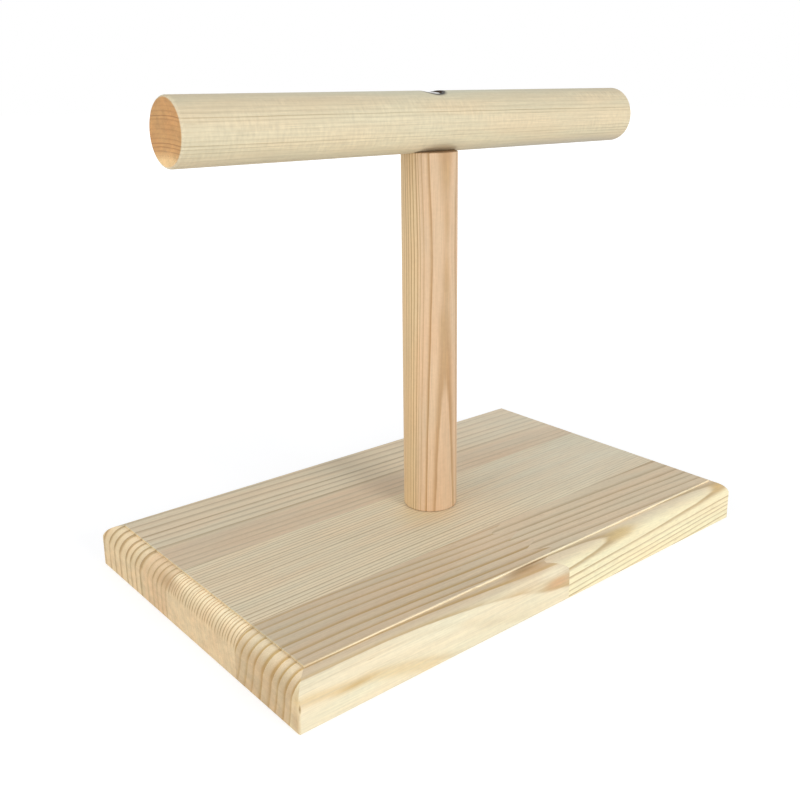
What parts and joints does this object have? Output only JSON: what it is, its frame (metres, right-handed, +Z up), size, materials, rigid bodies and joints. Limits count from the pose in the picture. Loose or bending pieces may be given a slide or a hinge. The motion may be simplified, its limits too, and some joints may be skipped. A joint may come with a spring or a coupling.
{
  "type": "parrot training perch",
  "caption": "Table-top T-shaped training perch for a parrot: a round wooden bar screwed across an upright dowel, on a flat glued pine base with rounded top edges.",
  "frame": {"origin": "centre of the base's underside, on the table", "axes": "+X along the base's long side and the perch bar, +Y towards the back, +Z up along the post"},
  "size_m": [0.16, 0.1, 0.13],
  "materials": {
    "base_pine": "sanded, unvarnished",
    "post_pine": "sanded, unvarnished",
    "bar_pine": "sanded, unvarnished",
    "screw_steel": "zinc plated"
  },
  "bodies": {
    "root": {"back_stave": "base_pine", "middle_stave": "base_pine", "front_stave_left": "base_pine", "front_stave_right": "base_pine", "post": "post_pine", "perch_bar": "bar_pine", "perch_screw": "screw_steel", "base_screw": "screw_steel"}
  },
  "joints": []
}
